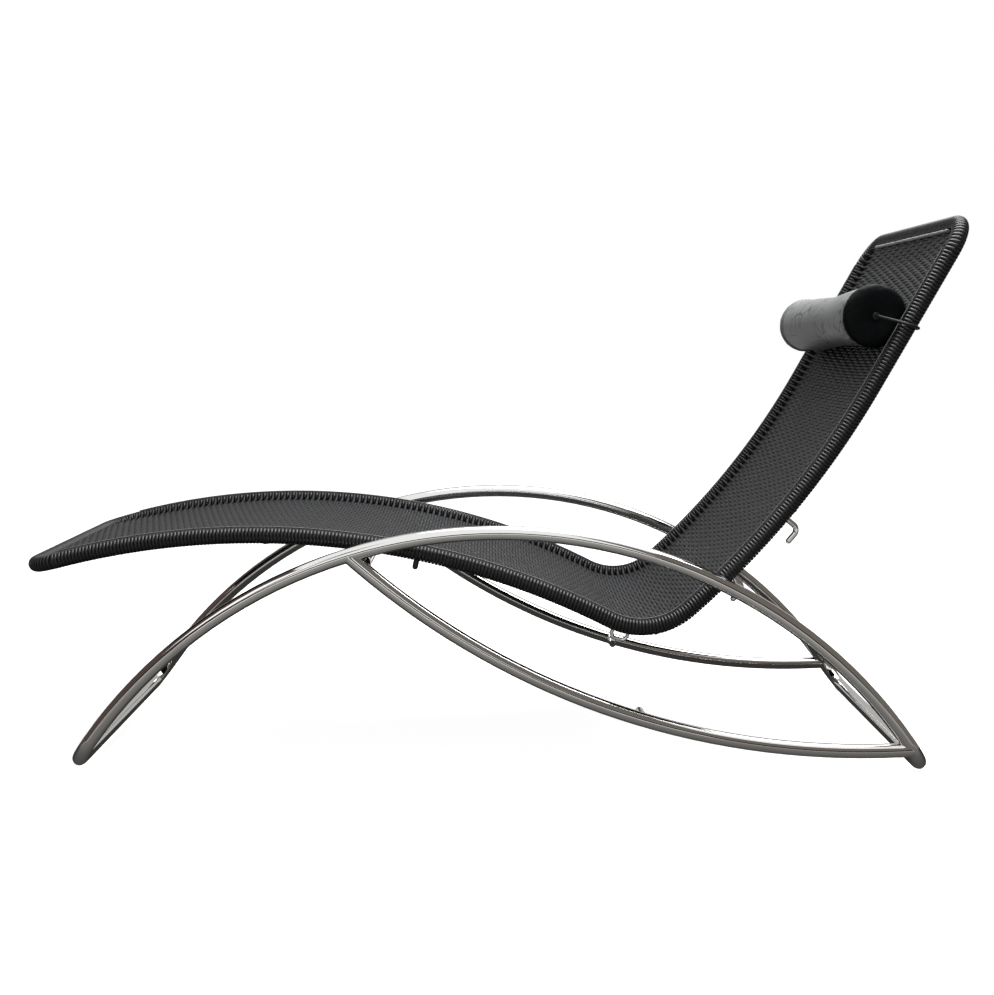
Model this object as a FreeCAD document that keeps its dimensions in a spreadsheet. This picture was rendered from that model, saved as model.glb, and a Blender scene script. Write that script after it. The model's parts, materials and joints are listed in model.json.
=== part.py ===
import FreeCAD, Part
import math
import os
import Sketcher
from FreeCAD import Matrix, Placement, Vector

# Lounge chair: a woven shell with a curved profile, hung in a base of bent chromed tube, and a bolster headrest.
# Millimetres. +X runs from the foot end to the head end, +Y across the width, +Z up from the floor.
# The origin is the centre of the chair's footprint, on the floor.

# Driving sizes

SIZES = [
    ("tube_dia", 25, "base tube, outside"),
    ("tube_wall", 2, "base tube, wall"),
    ("arch_radius", 873, "arch, centre line"),
    ("arch_crown", 431, "height of the arch's centre line at its crown"),
    ("arch_offset", 21.5, "crown of the arch, ahead of the origin"),
    ("floor_bend", 60, "bend from arch to floor bar, centre line"),
    ("sleeve_length", 120, "spigot inside each floor bar"),
    ("rail_radius", 1325, "rail, centre line"),
    ("rail_low", 48.5, "height of the rail's centre line at its lowest point"),
    ("rail_low_x", 647.5, "where that lowest point is"),
    ("front_bar_x", -213.5, "front cross bar"),
    ("peg_dia", 15, "pegs on the arches and rails"),
    ("peg_reach", 15.5, "peg tip, past the centre line of the hook on it"),
    ("collar_dia", 20, "collar at the root of a peg"),
    ("collar_length", 5, "collar at the root of a peg"),
    ("rail_peg_x", 268.5, "pegs on the rails"),
    ("shell_width", 500, "between the centre lines of the shell's side tubes"),
    ("frame_dia", 22, "shell tube, outside"),
    ("frame_wall", 2, "shell tube, wall"),
    ("wrap_thick", 3, "cord wound round the shell tube"),
    ("side_gap", 8.5, "between a wound side tube and the arch beside it"),
    ("foot_height", 359, "height of the foot end's centre line"),
    ("foot_pitch", 14.7, "slope of the foot end, degrees"),
    ("leg_radius", 1354, "leg part of the shell, centre line"),
    ("leg_sweep", 41.6, "leg part of the shell, degrees"),
    ("seat_radius", 122.5, "seat bend, centre line"),
    ("seat_sweep", 69.5, "seat bend, degrees"),
    ("back_radius", 1485, "curved part of the back, centre line"),
    ("back_sweep", 19.2, "curved part of the back, degrees"),
    ("head_length", 315, "straight top of the back"),
    ("corner_radius", 60, "four corners of the shell frame, centre line"),
    ("weave_thick", 5, "woven sheet"),
    ("weave_sag", 10, "dip of the woven sheet at mid width"),
    ("weave_gap", 0.3, "between the sheet's edge and the wound tubes"),
    ("brace_dia", 12, "bowed stretchers under the sheet"),
    ("brace_drop", 9, "stretcher ends, below the tube's centre line"),
    ("brace_bow", 22, "stretchers' bow, below their ends"),
    ("brace_end", 30, "straight ends of the stretchers"),
    ("leg_brace", 360, "leg stretcher, along the leg from the foot corner"),
    ("back_brace", 250, "back stretcher, along the curved back from the seat bend"),
    ("hook_dia", 10, "hook rod"),
    ("hook_slot", 19, "hook mouth, between the wound tube and the free leg"),
    ("hook_bend", 12, "hook bend, centre line"),
    ("hook_reach", 32, "from the hook's root to its tip, along the tube"),
    ("hook_pitch", 135, "from the lower hooks to the upper hooks"),
    ("stop_pitch", 88, "from the front cross bar to the stop pegs"),
    ("stop_dia", 10, "stop pegs"),
    ("stop_drop", 16, "stop pegs, below the wound tube"),
    ("hoop_dia", 7, "hoop rod under the seat"),
    ("hoop_span", 28, "between the hoop's legs"),
    ("hoop_drop", 15, "hoop, below the wound tube"),
    ("hoop_bend", 9, "hoop bends, centre line"),
    ("hoop_place", 11, "hoop centre, round the seat bend, degrees"),
    ("seat_brace", 38, "seat stretcher, round the seat bend, degrees"),
    ("bolster_dia", 116, "headrest bolster, at its middle"),
    ("bolster_end_dia", 108, "headrest bolster, at its end seams"),
    ("bolster_gap", 6, "between a wound side tube and the bolster's end cap"),
    ("bolster_press", 1, "headrest bolster, pressed down onto the sheet"),
    ("bolster_edge", 15, "rounding of the bolster's end caps"),
    ("bolster_place", 108, "bolster, up the straight top of the back"),
    ("leather_thick", 2, "bolster cover and caps"),
    ("cap_dimple", 4, "pulled-in centre of each end cap"),
    ("eyelet_dia", 14, "eyelet flange"),
    ("eyelet_thick", 1.5, "eyelet flange"),
    ("cord_dia", 5, "elastic cord"),
    ("cord_bend", 10, "cord bend outside the end cap, centre line"),
    ("cord_tilt", 10, "cord loop, tilted towards the head, degrees"),
    ("fit_gap", 0.3, "running gap between pieces that part"),
    ("sleeve_gap", 0.1, "gap between nested tubes that don't move"),
]

doc = FreeCAD.newDocument("lounge_chair")
sheet = doc.addObject("Spreadsheet::Sheet", "sizes")
for row, (alias, value, note) in enumerate(SIZES, 1):
    sheet.set("A%d" % row, note)
    sheet.set("B%d" % row, str(value))
    sheet.setAlias("B%d" % row, alias)
doc.recompute()

X, Y, Z = Vector(1, 0, 0), Vector(0, 1, 0), Vector(0, 0, 1)
SIDES = (("near", -1), ("far", 1))
nodes = {}
HALF_TURN = 180


class Size:
    """A number together with the sheet expression that gives it."""

    def __init__(self, value, text):
        self.value = value
        self.text = text

    def __add__(self, other):
        return Size(self.value + number(other), "(%s + %s)" % (self.text, words(other)))

    def __sub__(self, other):
        return Size(self.value - number(other), "(%s - %s)" % (self.text, words(other)))

    def __mul__(self, other):
        return Size(self.value * number(other), "(%s * %s)" % (self.text, words(other)))

    def __truediv__(self, other):
        return Size(self.value / number(other), "(%s / %s)" % (self.text, words(other)))


def number(size):
    return size.value if isinstance(size, Size) else float(size)


def words(size):
    return size.text if isinstance(size, Size) else repr(float(size))


def named(alias):
    return Size(float(getattr(sheet, alias)), "sizes." + alias)


def bind(thing, prop, size):
    """Gives a property its size, tied to the sheet where the size comes from it."""
    if isinstance(size, Size):
        thing.setExpression(prop, size.text)
    else:
        setattr(thing, prop, size)


def axes_placement(origin, x_axis, y_axis, z_axis):
    return Placement(Matrix(
        x_axis.x, y_axis.x, z_axis.x, origin.x,
        x_axis.y, y_axis.y, z_axis.y, origin.y,
        x_axis.z, y_axis.z, z_axis.z, origin.z,
        0, 0, 0, 1))


def level(angle, length=1.0):
    """A vector in the XZ plane, at an angle in degrees above +X."""
    return Vector(math.cos(math.radians(angle)), 0, math.sin(math.radians(angle))) * length


def keep(label, thing):
    """Makes an object a sub-part: its label is its name."""
    thing.Label = label
    nodes[label] = thing
    return thing


# Tubes and rods: straight runs and bends along a centre line

class Route:
    """A centre line of straight runs and tangent bends, walked from its start."""

    def __init__(self, start, along):
        self.point = Vector(start)
        self.along = Vector(along).normalize()
        self.steps = []

    def run(self, length):
        self.steps.append(("run", self.point, self.along, None, length, None))
        self.point = self.point + self.along * number(length)
        return self

    def bend(self, radius, turn, axis):
        inward = axis.cross(self.along)
        centre = self.point + inward * number(radius)
        self.steps.append(("bend", centre, self.along, axis, radius, turn))
        spin = FreeCAD.Rotation(axis, number(turn))
        self.point = centre - spin.multVec(inward) * number(radius)
        self.along = spin.multVec(self.along)
        return self


def any_normal(direction):
    side = Y if abs(direction.y) < 0.9 else X
    return direction.cross(side).normalize()


def rod(label, route, diameter):
    """A solid round rod along a route: a cylinder for each run, part of a torus for each bend."""
    pieces = []
    for count, (kind, place, along, axis, length, turn) in enumerate(route.steps, 1):
        name = "%s_%s_%d" % (label, kind, count)
        if kind == "run":
            piece = doc.addObject("Part::Cylinder", name)
            bind(piece, "Radius", diameter / 2)
            bind(piece, "Height", length)
            side = any_normal(along)
            piece.Placement = axes_placement(place, side, along.cross(side), along)
        else:
            piece = doc.addObject("Part::Torus", name)
            bind(piece, "Radius1", length)
            bind(piece, "Radius2", diameter / 2)
            bind(piece, "Angle3", turn)
            piece.Placement = axes_placement(place, along.cross(axis), along, axis)
        pieces.append(piece)
    return joined(label, pieces)


def joined(label, pieces):
    if len(pieces) == 1:
        return pieces[0]
    fuse = doc.addObject("Part::MultiFuse", label)
    fuse.Shapes = pieces
    return fuse


def cut(label, base, tools):
    """A piece with one or more others taken out of it."""
    result = doc.addObject("Part::Cut", label)
    result.Base = base
    result.Tool = tools[0] if len(tools) == 1 else joined(label + "_tools", tools)
    return result


def pipe(label, route, outside, inside):
    return cut(label, rod(label + "_outside", route, outside), [rod(label + "_inside", route, inside)])


# Turned pieces: a sketched half section, turned about the section's own upright axis

def turned(label, outline, placement):
    """A PartDesign body from an outline of points, and of three-point arcs given as a middle and an end."""
    body = doc.addObject("PartDesign::Body", label)
    sketch = body.newObject("Sketcher::SketchObject", label + "_section")
    plane = [item for item in body.Origin.OriginFeatures if item.Role == "XY_Plane"][0]
    sketch.AttachmentSupport = [(plane, "")]
    sketch.MapMode = "FlatFace"
    draw_outline(sketch, outline)
    turn = body.newObject("PartDesign::Revolution", label + "_turn")
    turn.Profile = sketch
    turn.ReferenceAxis = (sketch, ["V_Axis"])
    turn.Angle = 360
    body.Placement = placement
    return body


def draw_outline(sketch, outline):
    """Closes an outline of (x, y) corners, each dimensioned; a pair of pairs is an arc's middle and its end."""
    corner = Vector(*outline[0], 0)
    ends = []
    for step in outline[1:] + outline[:1]:
        if isinstance(step[0], tuple):
            end = Vector(*step[1], 0)
            index = sketch.addGeometry(Part.Arc(corner, Vector(*step[0], 0), end), False)
            sketch.addConstraint(Sketcher.Constraint("Radius", index, sketch.Geometry[index].Radius))
        else:
            end = Vector(*step, 0)
            index = sketch.addGeometry(Part.LineSegment(corner, end), False)
        forward = (sketch.getPoint(index, 1) - corner).Length < (sketch.getPoint(index, 2) - corner).Length
        ends.append((index, 1, 2) if forward else (index, 2, 1))
        place_point(sketch, index, 2 if forward else 1, end)
        corner = end
    for (index, _, last), (following, first, _) in zip(ends, ends[1:] + ends[:1]):
        sketch.addConstraint(Sketcher.Constraint("Coincident", index, last, following, first))


def place_point(sketch, index, which, place):
    """Dimensions a point from the sketch's origin, or pins it to the axis that it lies on."""
    for axis, kind, distance in ((-2, "DistanceX", place.x), (-1, "DistanceY", place.y)):
        if abs(distance) < 1e-9:
            sketch.addConstraint(Sketcher.Constraint("PointOnObject", index, which, axis))
        else:
            sketch.addConstraint(Sketcher.Constraint(kind, -1, 1, index, which, distance))


# Sizes that several pieces share

tube_dia = named("tube_dia")
tube_bore = tube_dia - named("tube_wall") * 2
frame_dia = named("frame_dia")
frame_bore = frame_dia - named("frame_wall") * 2
wrap_dia = frame_dia + named("wrap_thick") * 2
wrap_bore = frame_dia + named("sleeve_gap") * 2
wrap_radius = number(wrap_dia) / 2
shell_width = named("shell_width")
half_shell = number(shell_width) / 2
base_width = shell_width + wrap_dia + named("side_gap") * 2 + tube_dia
half_base = number(base_width) / 2
peg_length = named("side_gap") + wrap_dia / 2 + named("peg_reach")
bolster_length = shell_width - wrap_dia - named("bolster_gap") * 2
corner_radius = named("corner_radius")
inner_face = half_base - number(tube_dia) / 2


# The shell's side profile, foot to head, as a centre line in the XZ plane

class Profile:
    """Where the side profile's stretches start, which way they head, and where their centres lie."""

    def __init__(self):
        self.pitch = number(named("foot_pitch"))
        self.low = self.pitch - number(named("leg_sweep"))
        self.rise = self.low + number(named("seat_sweep"))
        self.lean = self.rise + number(named("back_sweep"))
        corner = number(corner_radius)
        leg, seat, back = [number(named(alias)) for alias in ("leg_radius", "seat_radius", "back_radius")]
        self.leg_radius, self.seat_radius, self.back_radius = leg, seat, back
        leg_start = level(self.pitch, corner)
        self.leg_centre = leg_start - level(self.pitch + 90, leg)
        seat_start = self.leg_centre + level(self.low + 90, leg)
        self.seat_centre = seat_start + level(self.low + 90, seat)
        back_start = self.seat_centre - level(self.rise + 90, seat)
        self.back_centre = back_start + level(self.rise + 90, back)
        head_start = self.back_centre - level(self.lean + 90, back)
        head_end = head_start + level(self.lean, number(named("head_length")))
        foot = Vector(-head_end.x / 2, 0, number(named("foot_height")))
        self.foot, self.leg_start, self.head_start, self.head_end = foot, leg_start, head_start, head_end
        for name in ("leg_start", "leg_centre", "seat_centre", "back_centre", "head_start", "head_end"):
            setattr(self, name, getattr(self, name) + foot)

    def leg_point(self, heading, lift=0.0):
        """A point over the leg's centre line, where it heads that way; lift is towards the sitter."""
        return self.leg_centre + level(heading + 90, self.leg_radius + lift)

    def seat_point(self, heading, lift=0.0):
        return self.seat_centre - level(heading + 90, self.seat_radius - lift)

    def back_point(self, heading, lift=0.0):
        return self.back_centre - level(heading + 90, self.back_radius - lift)


profile = Profile()
BOWS = (("foot", profile.pitch + HALF_TURN, profile.foot), ("head", profile.lean, profile.head_end))


def side_route(y):
    """One long side of the shell frame, between its foot and head corners."""
    route = Route(profile.leg_start + Y * y, level(profile.pitch))
    route.bend(named("leg_radius"), named("leg_sweep"), Y)
    route.bend(named("seat_radius"), named("seat_sweep"), -Y)
    route.bend(named("back_radius"), named("back_sweep"), -Y)
    return route.run(named("head_length") - corner_radius)


def bow_route(heading, end):
    """A cross end of the shell frame with its two corners, in the plane of the tubes that it joins."""
    outward = level(heading)
    start = end - outward * number(corner_radius) - Y * half_shell
    route = Route(start, outward)
    axis = outward.cross(Y)
    route.bend(corner_radius, 90, axis)
    route.run(shell_width - corner_radius * 2)
    return route.bend(corner_radius, 90, axis)


# Base: two arches that turn along the floor, two rails, a cross bar and four pegs

arch_centre = Vector(number(named("arch_offset")), 0, number(named("arch_crown") - named("arch_radius")))


def arch_half_angle():
    """How far from its crown the arch turns before the bend to the floor bar, in degrees."""
    radius, bend = number(named("arch_radius")), number(named("floor_bend"))
    drop = number(tube_dia) / 2 - arch_centre.z
    return math.degrees(math.acos(drop / math.hypot(radius, bend)) - math.atan2(bend, radius))


half_angle = arch_half_angle()
floor_reach = (level(90 - half_angle, number(named("arch_radius")))
               + level(-half_angle, number(named("floor_bend")))).x


def arch_route(side):
    """From the middle of the head floor bar, over the arch, to the middle of the foot floor bar."""
    half_bar = base_width / 2 - named("floor_bend")
    bar_height = number(tube_dia) / 2
    start = Vector(arch_centre.x + floor_reach, 0, bar_height)
    route = Route(start, Y * side)
    route.run(half_bar)
    climb = level(HALF_TURN - half_angle)
    route.bend(named("floor_bend"), 90, (Y * side).cross(climb))
    route.bend(named("arch_radius"), 2 * half_angle, -Y)
    route.bend(named("floor_bend"), 90, level(HALF_TURN + half_angle).cross(Y * -side))
    return route.run(half_bar)


def rail_height(x):
    centre_z = number(named("rail_low") + named("rail_radius"))
    return centre_z - math.sqrt(number(named("rail_radius")) ** 2 - (x - number(named("rail_low_x"))) ** 2)


def rail_meets_arch():
    """The two places where the rail's centre line meets the arch's, as angles about the rail's centre."""
    centre = Vector(number(named("rail_low_x")), 0, number(named("rail_low") + named("rail_radius")))
    rail, arch = number(named("rail_radius")), number(named("arch_radius"))
    apart = arch_centre - centre
    spread = math.degrees(math.acos((rail ** 2 + apart.Length ** 2 - arch ** 2) / (2 * rail * apart.Length)))
    aim = math.degrees(math.atan2(apart.z, apart.x))
    return centre, aim - spread, aim + spread


def rail_route(side):
    centre, first, last = rail_meets_arch()
    start = centre + level(first, number(named("rail_radius"))) + Y * half_base * side
    return Route(start, level(first + 90)).bend(named("rail_radius"), last - first, -Y)


def make_arches_and_rails():
    outlines = {}
    for name, side in SIDES:
        arch = pipe(name + "_arch", arch_route(side), tube_dia, tube_bore)
        keep(name + "_arch_tube", arch)
        outlines[name + "_arch"] = arch.Base
        solid_rail = rod(name + "_rail_rod", rail_route(side), tube_dia)
        rail = cut(name + "_rail", solid_rail, [rod(name + "_rail_bore", rail_route(side), tube_bore), arch.Base])
        keep(name + "_rail_tube", rail)
        outlines[name + "_rail"] = solid_rail
    return outlines


def make_floor_sleeves():
    """Spigots that join the arches' floor bars end to end, one at the foot and one at the head."""
    length = named("sleeve_length")
    spigots = []
    for end, name in ((-1, "foot_sleeve"), (1, "head_sleeve")):
        start = Vector(arch_centre.x + end * floor_reach, -number(length) / 2, number(tube_dia) / 2)
        route = Route(start, Y).run(length)
        spigots.append(pipe(name, route, tube_bore - named("sleeve_gap") * 2, tube_bore - named("tube_wall") * 2))
    group = doc.addObject("Part::Compound", "sleeves")
    group.Links = spigots
    keep("floor_bar_sleeves", group)


def front_bar_place():
    """The bar lies under the shell's side tubes, a fit gap below their winding."""
    reach = profile.leg_radius - wrap_radius - number(tube_dia) / 2 - number(named("fit_gap"))
    across = number(named("front_bar_x")) - profile.leg_centre.x
    return Vector(number(named("front_bar_x")), 0, profile.leg_centre.z + math.sqrt(reach ** 2 - across ** 2))


def make_front_bar(outlines):
    place = front_bar_place()
    length = inner_face + number(tube_dia) / 4
    route = Route(place - Y * length, Y).run(base_width - tube_dia / 2)
    bar = cut("front_bar", rod("front_bar_rod", route, tube_dia),
              [rod("front_bar_bore", route, tube_bore)] + list(outlines.values()))
    keep("front_cross_bar", bar)


def peg(name, side, place, outlines):
    """A turned peg with a collar, on the inner side of a tube and coped to it."""
    shaft, collar = number(named("peg_dia")) / 2, number(named("collar_dia")) / 2
    root = number(tube_dia) / 2
    flange, tip = number(named("collar_length")), number(peg_length)
    round_off = shaft / 6
    outline = [(0, -root), (collar, -root), (collar, flange), (shaft, flange),
               (shaft, tip - round_off), (shaft - round_off, tip), (0, tip)]
    origin = Vector(place.x, side * inner_face, place.z)
    placement = axes_placement(origin, X, Y * -side, X.cross(Y * -side))
    keep(name, cut(name + "_coped", turned(name + "_turned", outline, placement), outlines))


def arch_peg_place():
    """Where the arch's centre line crosses the line that the lower hooks' mouths follow along the back."""
    reach = profile.back_radius + wrap_radius + number(named("hook_slot")) / 2
    arch = number(named("arch_radius"))
    apart = profile.back_centre - arch_centre
    spread = math.degrees(math.acos((arch ** 2 + apart.Length ** 2 - reach ** 2) / (2 * arch * apart.Length)))
    aim = math.degrees(math.atan2(apart.z, apart.x))
    return arch_centre + level(aim - spread, arch)


def make_pegs(outlines):
    rail_x = number(named("rail_peg_x"))
    for name, side in SIDES:
        peg(name + "_arch_peg", side, arch_peg_place(), [outlines[name + "_arch"]])
        peg(name + "_rail_peg", side, Vector(rail_x, 0, rail_height(rail_x)), [outlines[name + "_rail"]])


# Shell: a frame of bent tube, its hooks and stretchers, the winding and the woven sheet

def make_frame():
    outlines = {}
    for name, side in SIDES:
        tube = pipe(name + "_side", side_route(side * half_shell), frame_dia, frame_bore)
        keep(name + "_side_tube", tube)
        outlines[name] = tube.Base
    for name, heading, end in BOWS:
        keep(name + "_bow_tube", pipe(name + "_bow", bow_route(heading, end), frame_dia, frame_bore))
    return outlines


def hook_heading():
    """The back's heading at the root of the lower hooks: just past the arch pegs, with the fit gap."""
    spot = arch_peg_place() - profile.back_centre
    at_peg = math.degrees(math.atan2(spot.z, spot.x)) + 90
    past = number(named("hook_dia") / 2 + named("peg_dia") / 2 + named("fit_gap"))
    return at_peg + math.degrees(past / (profile.back_radius + wrap_radius))


def hook(name, side, heading, outline):
    """A bent rod: out of the tube's underside, then back along the tube towards the seat."""
    root = profile.back_point(heading, -number(frame_bore) / 2) + Y * side * half_shell
    free_leg = wrap_dia / 2 + named("hook_slot") + named("hook_dia") / 2
    route = Route(root, level(heading - 90))
    route.run(free_leg - named("hook_bend") - frame_bore / 2)
    route.bend(named("hook_bend"), 90, Y)
    route.run(named("hook_reach") - named("hook_bend") - named("hook_dia") / 2)
    bent = rod(name + "_rod", route, named("hook_dia"))
    tip = doc.addObject("Part::Sphere", name + "_tip")
    bind(tip, "Radius", named("hook_dia") / 2)
    tip.Placement = axes_placement(route.point, X, Y, Z)
    return keep(name, cut(name + "_coped", joined(name + "_whole", [bent, tip]), [outline]))


def hoop(name, side, outline):
    """A small closed eye under the seat bend."""
    heading = profile.low + number(named("hoop_place"))
    sideways, down = level(heading), level(heading - 90)
    middle = profile.seat_point(heading) + Y * side * half_shell
    depth = wrap_dia / 2 + named("hoop_drop") - named("hoop_dia") / 2
    route = Route(middle + sideways * (number(named("hoop_span")) / 2), down)
    route.run(depth - named("hoop_bend"))
    route.bend(named("hoop_bend"), 90, Y)
    route.run(named("hoop_span") - named("hoop_bend") * 2)
    route.bend(named("hoop_bend"), 90, Y)
    route.run(depth - named("hoop_bend"))
    return keep(name, cut(name + "_coped", rod(name + "_rod", route, named("hoop_dia")), [outline]))


def stop_peg(name, side, outline):
    """A short round-ended peg under the leg, on the head side of the front cross bar."""
    bar = front_bar_place() - profile.leg_centre
    heading = math.degrees(math.atan2(bar.z, bar.x)) - 90
    heading -= math.degrees(number(named("stop_pitch")) / profile.leg_radius)
    start = profile.leg_point(heading, -number(frame_bore) / 2) + Y * side * half_shell
    route = Route(start, level(heading - 90))
    route.run(wrap_dia / 2 + named("stop_drop") - named("stop_dia") / 2 - frame_bore / 2)
    shaft = rod(name + "_shaft", route, named("stop_dia"))
    tip = doc.addObject("Part::Sphere", name + "_tip")
    bind(tip, "Radius", named("stop_dia") / 2)
    tip.Placement = axes_placement(route.point, X, Y, Z)
    return keep(name, cut(name + "_coped", joined(name + "_whole", [shaft, tip]), [outline]))


def stretcher(name, heading, middle, outlines):
    """A rod bowed down under the sheet between straight ends, from one side tube to the other."""
    bow, half, end = number(named("brace_bow")), half_shell, number(named("brace_end"))
    spread = 2 * math.atan(bow / (half + end))
    radius = (half - end * math.cos(spread)) / math.sin(spread)
    down = level(heading - 90)
    start = middle + down * number(named("brace_drop")) - Y * half
    first = Y * math.cos(spread) + down * math.sin(spread)
    route = Route(start, first).run(named("brace_end"))
    route.bend(radius, 2 * math.degrees(spread), first.cross(Y).normalize()).run(named("brace_end"))
    return keep(name, cut(name + "_coped", rod(name + "_rod", route, named("brace_dia")), outlines))


def make_fittings(outlines):
    """Hooks, hoops, stop pegs and stretchers, as lists by the tube that each stands on."""
    lower = hook_heading()
    upper = lower + math.degrees(number(named("hook_pitch")) / profile.back_radius)
    fittings = {"near": [], "far": []}
    for name, side in SIDES:
        tube = outlines[name]
        fittings[name] += [
            hook(name + "_lower_hook", side, lower, tube),
            hook(name + "_upper_hook", side, upper, tube),
            hoop(name + "_seat_hoop", side, tube),
            stop_peg(name + "_stop_peg", side, tube),
        ]
    leg = profile.pitch - math.degrees(number(named("leg_brace")) / profile.leg_radius)
    seat = profile.low + number(named("seat_brace"))
    back = profile.rise + math.degrees(number(named("back_brace")) / profile.back_radius)
    tubes = list(outlines.values())
    braces = [
        stretcher("leg_stretcher", leg, profile.leg_point(leg), tubes),
        stretcher("seat_stretcher", seat, profile.seat_point(seat), tubes),
        stretcher("back_stretcher", back, profile.back_point(back), tubes),
    ]
    for name, side in SIDES:
        fittings[name] += braces
    return fittings


def make_winding(fittings):
    """The cord wound round the frame, as a sleeve of its thickness, open where a fitting comes through."""
    for name, side in SIDES:
        route = side_route(side * half_shell)
        wound = pipe(name + "_wound", route, wrap_dia, wrap_bore)
        keep(name + "_side_winding", cut(name + "_opened", wound, fittings[name]))
    for name, heading, end in BOWS:
        keep(name + "_bow_winding", pipe(name + "_wound", bow_route(heading, end), wrap_dia, wrap_bore))


def sheet_section(label, radius, towards, placement):
    """The sheet's cross section, dipped at mid width; towards is +1 where the sitter is on the outside."""
    half = half_shell - wrap_radius - number(named("weave_gap"))
    thick, sag = number(named("weave_thick")) / 2, number(named("weave_sag"))
    sketch = doc.addObject("Sketcher::SketchObject", label)
    upper, lower = radius + thick * towards, radius - thick * towards
    draw_outline(sketch, [
        (upper, -half),
        ((upper - sag * towards, 0), (upper, half)),
        (lower, half),
        ((lower - sag * towards, 0), (lower, -half)),
    ])
    sketch.Placement = placement
    return sketch


def swept_sheet(label, centre, heading, radius, sweep, towards):
    """The sheet round one bend of the profile, from the heading where the bend starts."""
    outward = level(heading + 90) * towards
    placement = axes_placement(centre, outward, Y, outward.cross(Y))
    section = sheet_section(label + "_section", radius, towards, placement)
    turn = doc.addObject("Part::Revolution", label)
    turn.Source = section
    turn.Base = centre
    turn.Axis = Y * towards
    turn.Solid = True
    bind(turn, "Angle", sweep)
    return turn


def straight_sheet(label, start, heading, length):
    """The sheet along a straight stretch of the profile."""
    lift = level(heading + 90)
    section = sheet_section(label + "_section", 0, 1, axes_placement(start, lift, Y, lift.cross(Y)))
    run = doc.addObject("Part::Extrusion", label)
    run.Base = section
    run.DirMode = "Custom"
    run.Dir = level(heading)
    run.Solid = True
    bind(run, "LengthFwd", length)
    return run


def make_weave():
    """The sheet in three stretches, with its ends cut back round the corners and cross ends of the frame."""
    margin = wrap_dia + named("weave_gap") * 4
    foot_sleeve, head_sleeve = [rod(name + "_margin", bow_route(heading, end), margin) for name, heading, end in BOWS]
    # The sheet's ends stop inside the margin, so that nothing of them is left beyond it
    tuck = wrap_dia / 5
    foot_start = profile.foot + level(profile.pitch, number(tuck))
    leg = swept_sheet("leg_sheet", profile.leg_centre, profile.pitch, profile.leg_radius, named("leg_sweep"), 1)
    foot = straight_sheet("foot_sheet", foot_start, profile.pitch, corner_radius - tuck)
    keep("leg_weave", cut("leg_trimmed", joined("leg_whole", [foot, leg]), [foot_sleeve]))
    seat = swept_sheet("seat_sheet", profile.seat_centre, profile.low, profile.seat_radius, named("seat_sweep"), -1)
    keep("seat_weave", seat)
    back = swept_sheet("back_sheet", profile.back_centre, profile.rise, profile.back_radius, named("back_sweep"), -1)
    head = straight_sheet("head_sheet", profile.head_start, profile.lean, named("head_length") - tuck)
    keep("back_weave", cut("back_trimmed", joined("back_whole", [back, head]), [head_sleeve]))


# Headrest: a crowned bolster on a loop of elastic cord that passes behind the back

def bolster_frame():
    """The bolster's axis: square to the back, with its middle pressed a little onto the dipped sheet."""
    lift = (number(named("bolster_dia")) / 2 + number(named("weave_thick")) / 2
            - number(named("weave_sag")) + number(named("fit_gap")) - number(named("bolster_press")))
    foot = profile.head_start + level(profile.lean, number(named("bolster_place")))
    return foot + level(profile.lean + 90, lift), lift


bolster_seam = number(bolster_length) / 2 - number(named("bolster_edge"))
cord_bore = number(named("cord_dia")) / 2 + number(named("sleeve_gap"))


def bolster_solid(label, shrink):
    """The crowned cushion with rounded ends, inset by shrink and pressed flat where it lies on the sheet."""
    middle = number(named("bolster_dia")) / 2 - shrink
    rim = number(named("bolster_end_dia")) / 2 - shrink
    edge = number(named("bolster_edge")) - shrink
    end = bolster_seam + edge
    eye, dimple = number(named("eyelet_dia")) / 2, number(named("cap_dimple"))
    corner = edge * (1 - math.sqrt(0.5))
    outline = [
        (0, dimple - end),
        (eye, dimple - end),
        (rim - edge, -end),
        ((rim - corner, corner - end), (rim, -bolster_seam)),
        ((middle, 0), (rim, bolster_seam)),
        ((rim - corner, end - corner), (rim - edge, end)),
        (eye, end - dimple),
        (0, end - dimple),
    ]
    centre, _ = bolster_frame()
    full = turned(label + "_full", outline, axes_placement(centre, X, Y, Z))
    return cut(label, full, [trough(label + "_trough", shrink + number(named("fit_gap")))])


def trough(label, clear):
    """The room that the dipped sheet takes under the bolster, raised by a clearance."""
    half = half_shell - wrap_radius - number(named("weave_gap"))
    top, sag = number(named("weave_thick")) / 2 + clear, number(named("weave_sag"))
    reach = number(named("bolster_dia"))
    lift = level(profile.lean + 90)
    start = profile.head_start + level(profile.lean, number(named("bolster_place")) - reach)
    sketch = doc.addObject("Sketcher::SketchObject", label + "_section")
    draw_outline(sketch, [(top, -half), ((top - sag, 0), (top, half)), (-reach, half), (-reach, -half)])
    sketch.Placement = axes_placement(start, lift, Y, lift.cross(Y))
    block = doc.addObject("Part::Extrusion", label)
    block.Base = sketch
    block.DirMode = "Custom"
    block.Dir = level(profile.lean)
    block.Solid = True
    bind(block, "LengthFwd", named("bolster_dia") * 2)
    return block


def slab(label, low, high):
    """A block across the whole bolster between two distances along its axis."""
    centre, _ = bolster_frame()
    block = doc.addObject("Part::Box", label)
    bind(block, "Length", named("bolster_dia") * 2)
    bind(block, "Height", named("bolster_dia") * 2)
    block.Width = high - low
    half = number(named("bolster_dia"))
    block.Placement = axes_placement(centre + Vector(-half, low, -half), X, Y, Z)
    return block


def cord_hole(label):
    centre, _ = bolster_frame()
    route = Route(centre - Y * number(bolster_length), Y).run(bolster_length * 2)
    return rod(label, route, named("cord_dia") + named("sleeve_gap") * 2)


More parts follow.
